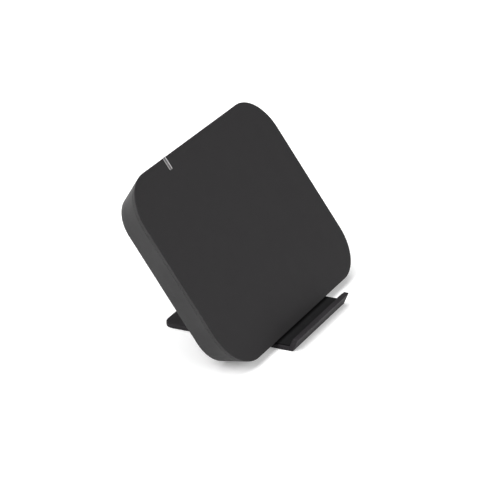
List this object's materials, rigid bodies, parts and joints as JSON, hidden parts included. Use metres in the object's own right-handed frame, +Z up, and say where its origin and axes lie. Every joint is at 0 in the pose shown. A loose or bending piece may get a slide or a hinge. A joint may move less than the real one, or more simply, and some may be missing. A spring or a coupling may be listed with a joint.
{
  "type": "phone stand",
  "caption": "Folding charging stand for a phone: a flat rounded pad leaning back on a narrow hinged foot with an upturned front lip.",
  "frame": {"origin": "on the table, under the middle of the stand's bounding box, opened for use", "axes": "+X to the right as the user sees the pad, +Y to the back, +Z up"},
  "size_m": [0.0978, 0.0545, 0.0613],
  "materials": {
    "panel_plastic": "fine soft-touch texture",
    "housing_plastic": "fine moulded texture",
    "light_window": "frosted clear",
    "black_rubber": "matte silicone",
    "zinc_steel": "zinc plated",
    "black_steel": "black coated steel",
    "foam_tape": "white foam tape",
    "copper_wire": "enamelled copper",
    "ferrite": "sintered, matte",
    "shield_aluminium": "rolled sheet",
    "board_laminate": "solder mask",
    "chip_black": "moulded epoxy",
    "ceramic": "fired ceramic",
    "socket_steel": "bright drawn steel",
    "foot_paint": "satin black paint on a zinc casting"
  },
  "bodies": {
    "foot": {"foot_plate": "foot_paint", "lip_liner": "black_rubber", "foot_pad": "black_rubber", "hinge_pin": "zinc_steel", "spring_washers": "zinc_steel", "pin_clip": "zinc_steel"},
    "pad": {"face_panel": "panel_plastic", "rear_housing": "housing_plastic", "light_pipe": "light_window", "back_feet": "black_rubber", "housing_screws": "zinc_steel", "shield_screws": "zinc_steel", "board_screws": "zinc_steel", "bracket_screws": "black_steel", "coil_adhesive": "foam_tape", "charging_coil": "copper_wire", "ferrite_sheet": "ferrite", "shield_plate": "shield_aluminium", "coil_leads": "copper_wire", "circuit_board": "board_laminate", "control_chip": "chip_black", "power_transistors": "chip_black", "resonant_capacitors": "ceramic", "filter_inductor": "ferrite", "status_led": "light_window", "usb_shell": "socket_steel", "usb_tongue": "chip_black", "hinge_bracket": "black_steel"}
  },
  "joints": [
    {"name": "fold_hinge", "type": "hinge", "parent": "foot", "child": "pad", "pos_m": [0, -0.01064, 0.005], "axis": [1, 0, 0], "range_deg": [-55, 0]}
  ]
}
